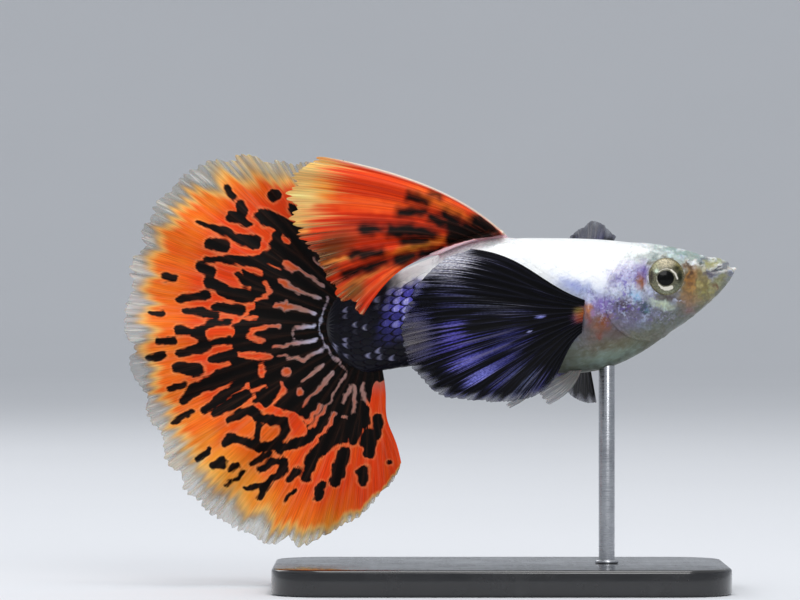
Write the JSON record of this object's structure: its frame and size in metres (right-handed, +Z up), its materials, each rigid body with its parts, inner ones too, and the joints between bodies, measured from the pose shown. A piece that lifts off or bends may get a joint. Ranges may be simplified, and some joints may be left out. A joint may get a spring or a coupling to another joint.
{
  "type": "fancy guppy model on a display stand",
  "caption": "Still, life-size male fancy guppy with spread tail fan, trailing dorsal fin and large ear-like pectoral fins, held over a flat base by a short rod.",
  "frame": {"origin": "middle of the underside of the stand's base, on the floor", "axes": "+X towards the snout, +Y towards the fish's left side, +Z up"},
  "size_m": [0.0462, 0.0255, 0.0327],
  "materials": {
    "pearl_skin": "smooth wet skin, white back, pale grey belly, violet and gold cheek",
    "blue_scales": "overlapping scales, violet blue sheen",
    "eye": "wet dome over a black pupil and a pale iris ring",
    "orange_fin": "orange membrane with black mosaic marks and a pale clear edge",
    "black_fin": "black membrane with violet blue sheen along the rays",
    "clear_fin": "smoky clear membrane",
    "stand_black": "satin black acrylic",
    "stand_steel": "fine brushed rod"
  },
  "bodies": {
    "root": {"head": "pearl_skin", "trunk": "pearl_skin", "tail_stalk": "blue_scales", "eye_right": "eye", "eye_left": "eye", "tail_fin": "orange_fin", "dorsal_fin": "orange_fin", "pectoral_fin_right": "black_fin", "pectoral_fin_left": "black_fin", "pelvic_fin_right": "clear_fin", "pelvic_fin_left": "clear_fin", "gonopodium": "clear_fin", "stand_base": "stand_black", "stand_rod": "stand_steel"}
  },
  "joints": []
}
